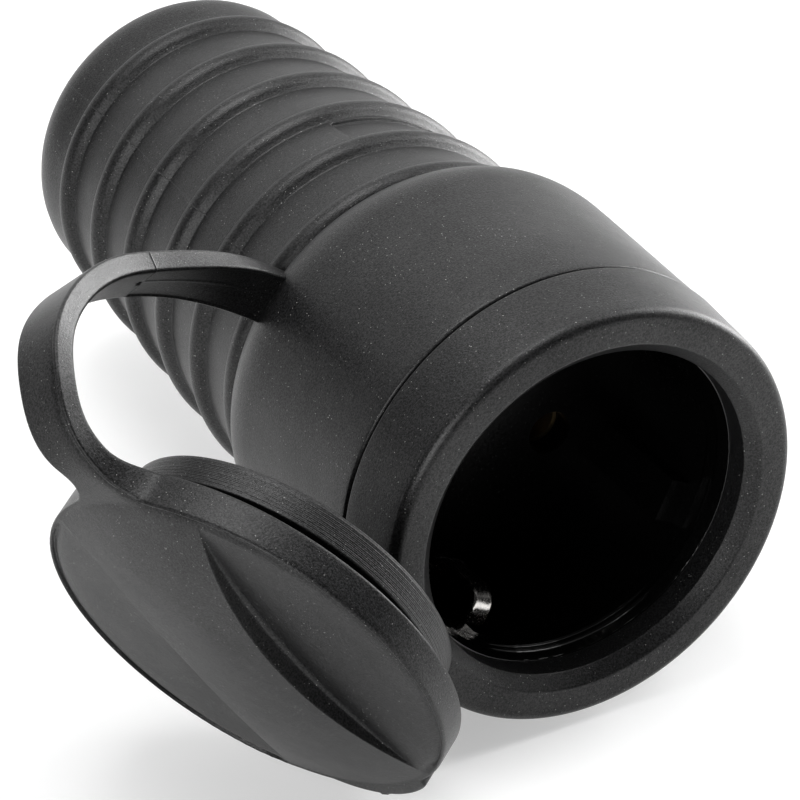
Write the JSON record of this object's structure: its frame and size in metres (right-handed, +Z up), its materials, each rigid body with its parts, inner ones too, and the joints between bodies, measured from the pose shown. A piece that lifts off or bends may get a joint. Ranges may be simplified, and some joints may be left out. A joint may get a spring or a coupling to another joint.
{
  "type": "inline socket connector",
  "caption": "Splash-proof inline mains socket with ribbed rubber grip, round earthed plug well and a sealing cap on a rubber strap, cap open beside the mouth.",
  "frame": {"origin": "on the connector's axis, on the floor of the plug well, where a plug's face comes to rest", "axes": "-Y points out of the mouth along the axis, +Y towards the cable end, +Z up as the connector lies on a floor, -X towards the side where the open cap stands"},
  "size_m": [0.0878, 0.1255, 0.0595],
  "materials": {
    "handle_rubber": "matt black rubber, fine grain",
    "cap_rubber": "matt black rubber, softer grade",
    "insert_plastic": "black moulded plastic, satin to gloss",
    "carrier_plastic": "black moulded plastic, matt",
    "saddle_plastic": "black moulded plastic, matt",
    "nickelled_brass": "nickelled spring brass, bright",
    "contact_brass": "plain brass",
    "screw_steel": "zinc-plated steel"
  },
  "bodies": {
    "root": {"rubber_handle": "handle_rubber", "cap_with_strap": "cap_rubber", "socket_insert": "insert_plastic", "contact_carrier": "carrier_plastic", "earth_bow": "nickelled_brass", "live_contact": "contact_brass", "neutral_contact": "contact_brass", "live_terminal": "contact_brass", "neutral_terminal": "contact_brass", "earth_terminal": "contact_brass", "live_contact_spring": "screw_steel", "neutral_contact_spring": "screw_steel", "live_terminal_screw": "screw_steel", "neutral_terminal_screw": "screw_steel", "earth_terminal_screw": "screw_steel", "carrier_screw_upper": "screw_steel", "carrier_screw_lower": "screw_steel", "clamp_screw_left": "screw_steel", "clamp_screw_right": "screw_steel", "clamp_nut_left": "screw_steel", "clamp_nut_right": "screw_steel", "clamp_saddle": "saddle_plastic"}
  },
  "joints": []
}
